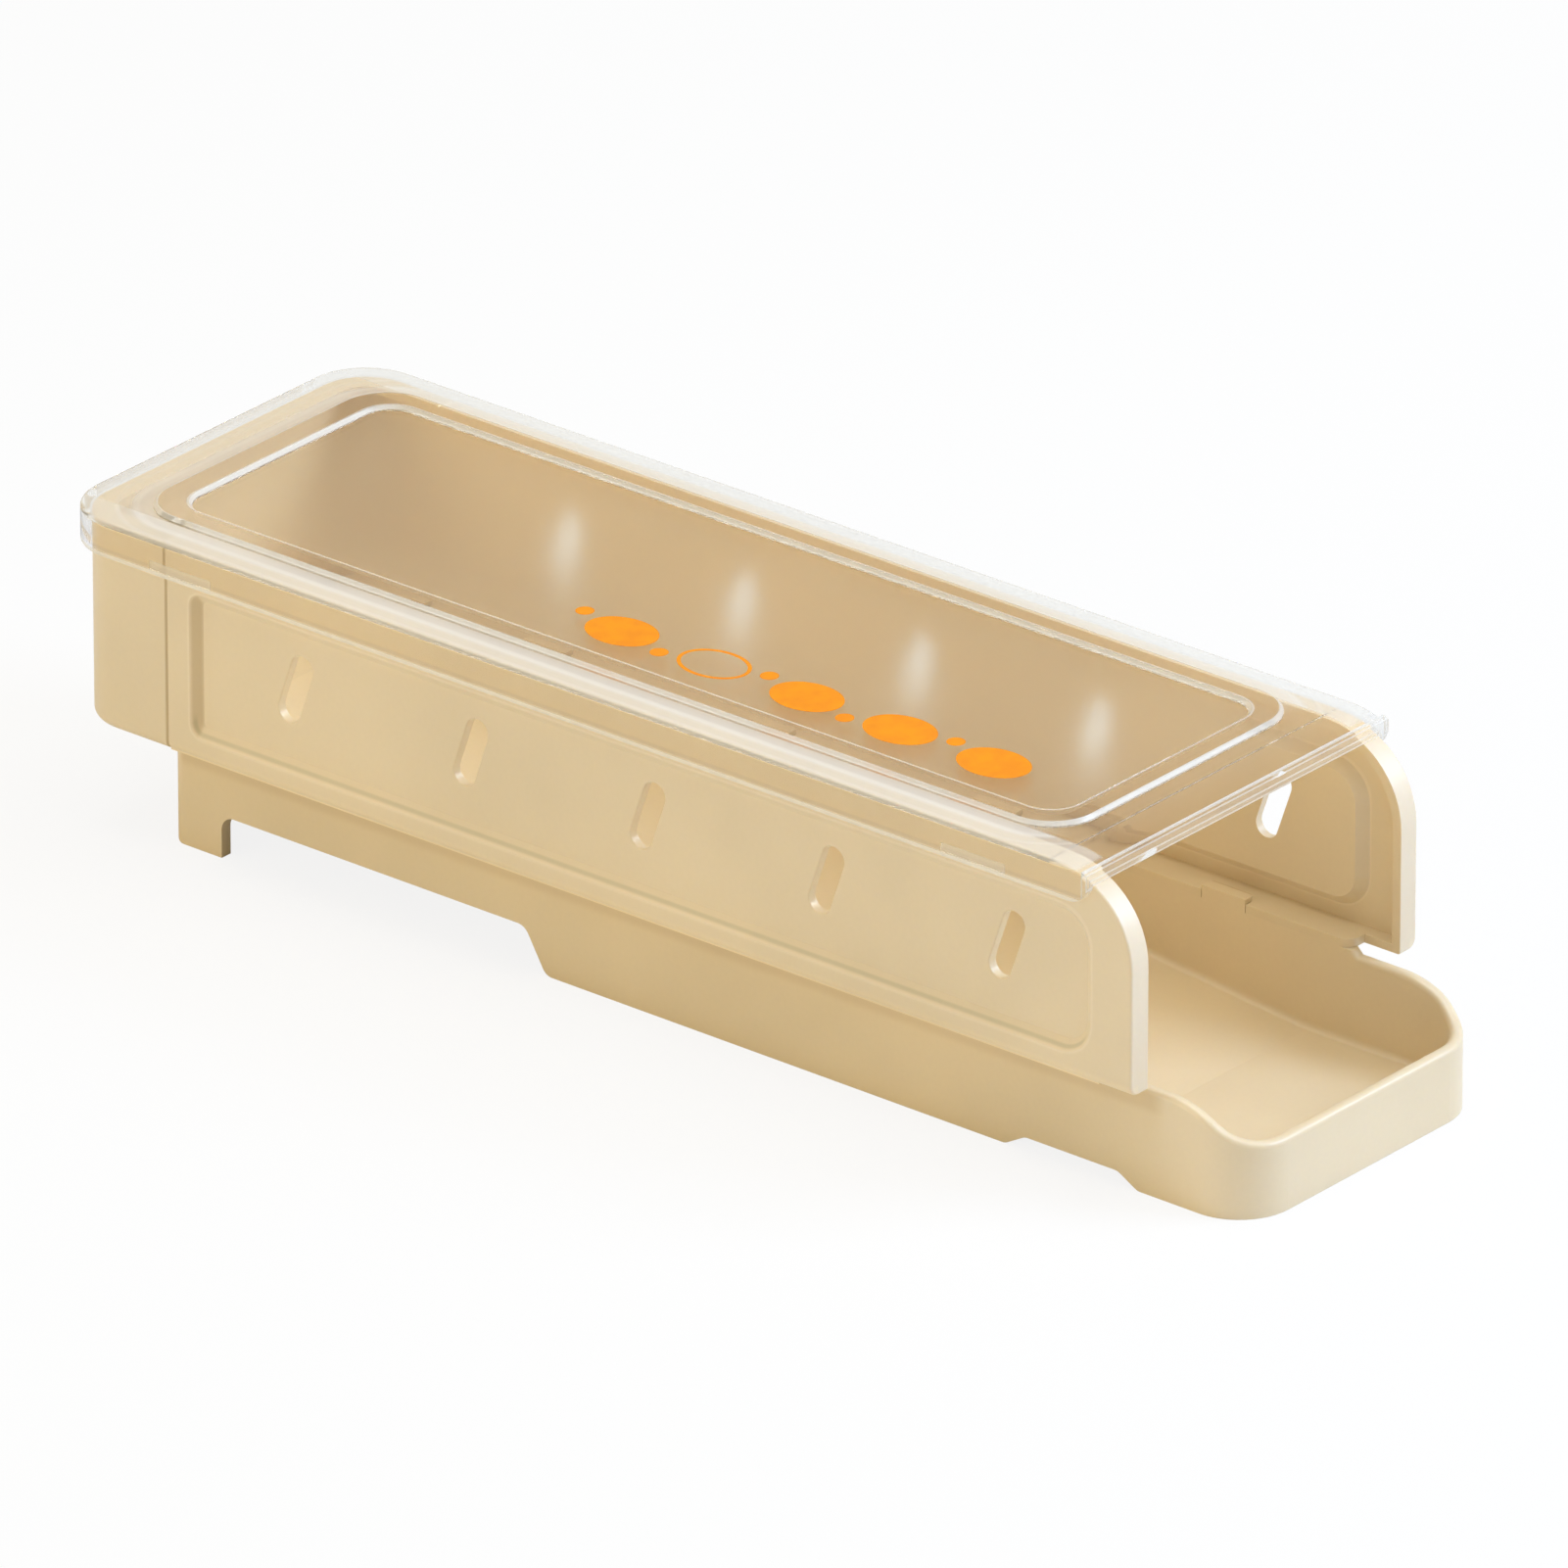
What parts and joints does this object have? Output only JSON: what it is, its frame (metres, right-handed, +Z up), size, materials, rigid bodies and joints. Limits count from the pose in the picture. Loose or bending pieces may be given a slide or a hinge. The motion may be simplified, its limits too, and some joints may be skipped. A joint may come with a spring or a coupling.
{
  "type": "rolling egg dispenser",
  "caption": "Refrigerator egg keeper: eggs roll down a sloping floor inside slotted side walls to an open front tray, under a clear lift-off lid.",
  "frame": {"origin": "under the middle of the whole object, on the surface that it stands on", "axes": "+Z up, +Y from the open front tray to the closed rear, +X to the right seen from the front"},
  "size_m": [0.1026, 0.3278, 0.0786],
  "materials": {
    "cream_plastic": "satin moulded polypropylene",
    "clear_plastic": "clear moulded plastic with a lightly frosted middle",
    "orange_print": "ink printed on the lid"
  },
  "bodies": {
    "dispenser": {"base_tray": "cream_plastic", "left_side_wall": "cream_plastic", "right_side_wall": "cream_plastic", "rear_cap": "cream_plastic"},
    "lid": {"lid": "clear_plastic"}
  },
  "joints": [
    {"name": "lid_lift", "type": "slide", "parent": "dispenser", "child": "lid", "axis": [0, 0, 1], "range_m": [0, 0.06]}
  ]
}
